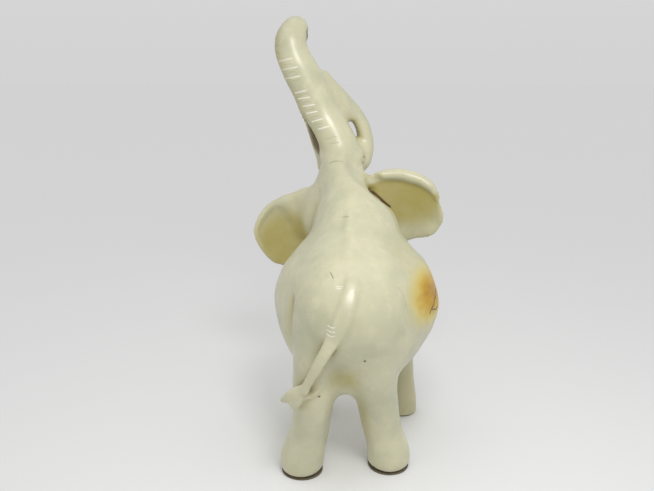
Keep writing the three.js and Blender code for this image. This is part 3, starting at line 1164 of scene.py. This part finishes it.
def soapstone():
    """Polished stone: olive painted shade in the ears, amber at the stain, chalky or dark where it is cut,
    and dark painted shade in gaps.
    """
    shader = Shader("soapstone")
    mottle = shader.noise(7, 5, 0.6)
    colour = clouded_colour(shader, mottle)
    # Painted shade between the hind legs, and a warm tint on the right front foot and above the stain.
    warm_and_shade = shader.math("MULTIPLY", shader.value("warm_and_shade"), shader.step(mottle, 0.2, 0.8, 0.6, 1.1))
    colour = shader.mix(shader.math("MULTIPLY", warm_and_shade, 0.85), colour, srgb(172, 162, 98))
    # Painted olive shade in the ears' hollows, the creases and down the trunk's left.
    painted_shade = shader.math("MULTIPLY", shader.value("painted_shade"), shader.step(mottle, 0.1, 0.9, 0.75, 1.1))
    colour = shader.mix(painted_shade, colour, srgb(174, 162, 96))
    colour = stained_colour(shader, colour)
    # Dark brown in the crack and pits, and painted shade in the ear's slit, the tusk's groove, under the lip
    # and in creases.
    colour = shader.mix(shader.value("grime_and_shade"), colour, srgb(92, 70, 36))
    colour = shader.mix(shader.value("chalk"), colour, srgb(244, 243, 232))
    fleck = shader.step(shader.noise(1.6, 2, 0.5), 0.74, 0.8, 0, 0.35)
    colour = shader.mix(fleck, colour, srgb(150, 138, 100))

    rough = shader.step(shader.noise(11, 5, 0.6), 0.3, 0.7, 0.34, 0.48)
    rough = shader.math("ADD", rough, shader.math("MULTIPLY", shader.value("chalk"), 0.3))
    normal = shader.bump(shader.noise(2.2, 4, 0.55), 0.05, 0.5)
    scratch = shader.noise(1.2, 2, 0.5, stretch=(1, 1, 0.12))
    normal = shader.bump(scratch, 0.012, 0.4, normal)
    shader.set(
        Base_Color=colour,
        Roughness=rough,
        Normal=normal,
        Coat_Weight=0.3,
        Coat_Roughness=0.26,
        Subsurface_Weight=0.25,
        Subsurface_Radius=(1.0, 0.8, 0.35),
        Subsurface_Scale=0.004,
    )
    return shader.material


def felt():
    """Dark brown felt: matted fibres, paler where it is worn."""
    shader = Shader("felt")
    fibre = shader.noise(0.5, 4, 0.7, distortion=0.8)
    colour = shader.mix(shader.noise(4, 3), srgb(78, 66, 42), srgb(120, 108, 80))
    colour = shader.mix(shader.step(fibre, 0.4, 0.7, 0, 0.5), colour, srgb(58, 46, 28))
    shader.set(Base_Color=colour, Roughness=0.95, Sheen_Weight=0.3, Normal=shader.bump(fibre, 0.15, 0.8))
    return shader.material


# Stage


def add_camera():
    """The camera stands behind the elephant, a little to its right, looking down at it."""
    low, high = corners("hind_pad_left")
    foot = (low + high) / 2 * MM
    data = bpy.data.cameras.new("camera")
    data.lens = CAMERA_LENS
    camera = bpy.data.objects.new("camera", data)
    camera.location = (foot[0] + CAMERA_RIGHT, foot[1] - CAMERA_BACK, CAMERA_HEIGHT)
    camera.rotation_euler = (math.radians(90 - CAMERA_PITCH), 0, math.radians(CAMERA_YAW))
    bpy.context.scene.collection.objects.link(camera)
    bpy.context.scene.camera = camera


def add_lamp():
    """A small lamp high behind the elephant's right: it makes the polish's highlights."""
    data = bpy.data.lights.new("lamp", "AREA")
    data.shape = "RECTANGLE"
    data.size = LAMP_SIZE
    data.size_y = LAMP_SIZE
    data.energy = LAMP_POWER
    lamp = bpy.data.objects.new("lamp", data)
    lamp.location = place(*LAMP_PLACE) * MM
    direction = Vector(place(*LAMP_TARGET) * MM) - lamp.location
    lamp.rotation_euler = direction.to_track_quat("-Z", "Y").to_euler()
    lamp.visible_camera = False
    bpy.context.scene.collection.objects.link(lamp)


def add_floor():
    """A wide sheet of pale, quite dull paper."""
    mesh = bpy.data.meshes.new("floor")
    sheet = [(-1, -1), (1, -1), (1, 1), (-1, 1)]
    mesh.from_pydata([(FLOOR_REACH * x, FLOOR_REACH * y, 0) for x, y in sheet], [], [(0, 1, 2, 3)])
    floor = bpy.data.objects.new("floor", mesh)
    bpy.context.scene.collection.objects.link(floor)
    material = bpy.data.materials.new("floor_paper")
    material.use_nodes = True
    bsdf = material.node_tree.nodes["Principled BSDF"]
    bsdf.inputs["Base Color"].default_value = (FLOOR, FLOOR, FLOOR, 1)
    bsdf.inputs["Roughness"].default_value = 0.9
    bsdf.inputs["Specular IOR Level"].default_value = 0
    mesh.materials.append(material)


def add_studio_light():
    """Soft light from all round, brighter overhead and a little dimmer on the left."""
    world = bpy.data.worlds.new("studio")
    world.use_nodes = True
    nodes, links = world.node_tree.nodes, world.node_tree.links
    direction = nodes.new("ShaderNodeTexCoord")
    parts = nodes.new("ShaderNodeSeparateXYZ")
    links.new(direction.outputs["Generated"], parts.inputs["Vector"])
    glow = nodes.new("ShaderNodeMapRange")
    set_range(glow, 0, 1, HORIZON_GLOW, TOP_GLOW)
    links.new(parts.outputs["Z"], glow.inputs["Value"])
    shade = nodes.new("ShaderNodeMapRange")
    set_range(shade, -1, -0.55, SHADED_SIDE, 1)
    links.new(parts.outputs["X"], shade.inputs["Value"])
    strength = nodes.new("ShaderNodeMath")
    strength.operation = "MULTIPLY"
    links.new(glow.outputs["Result"], strength.inputs[0])
    links.new(shade.outputs["Result"], strength.inputs[1])
    nodes["Background"].inputs["Color"].default_value = (1, 1, 1, 1)
    links.new(strength.outputs[0], nodes["Background"].inputs["Strength"])
    bpy.context.scene.world = world


# The scene

bpy.context.scene.view_settings.view_transform = "Standard"
add_camera()
add_floor()
add_studio_light()
add_lamp()

figure = skin_object(carve_block())
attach(figure, "root")
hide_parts(*STONE)

felt_material = felt()
for node in PADS:
    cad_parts[node].data.materials.clear()
    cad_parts[node].data.materials.append(felt_material)
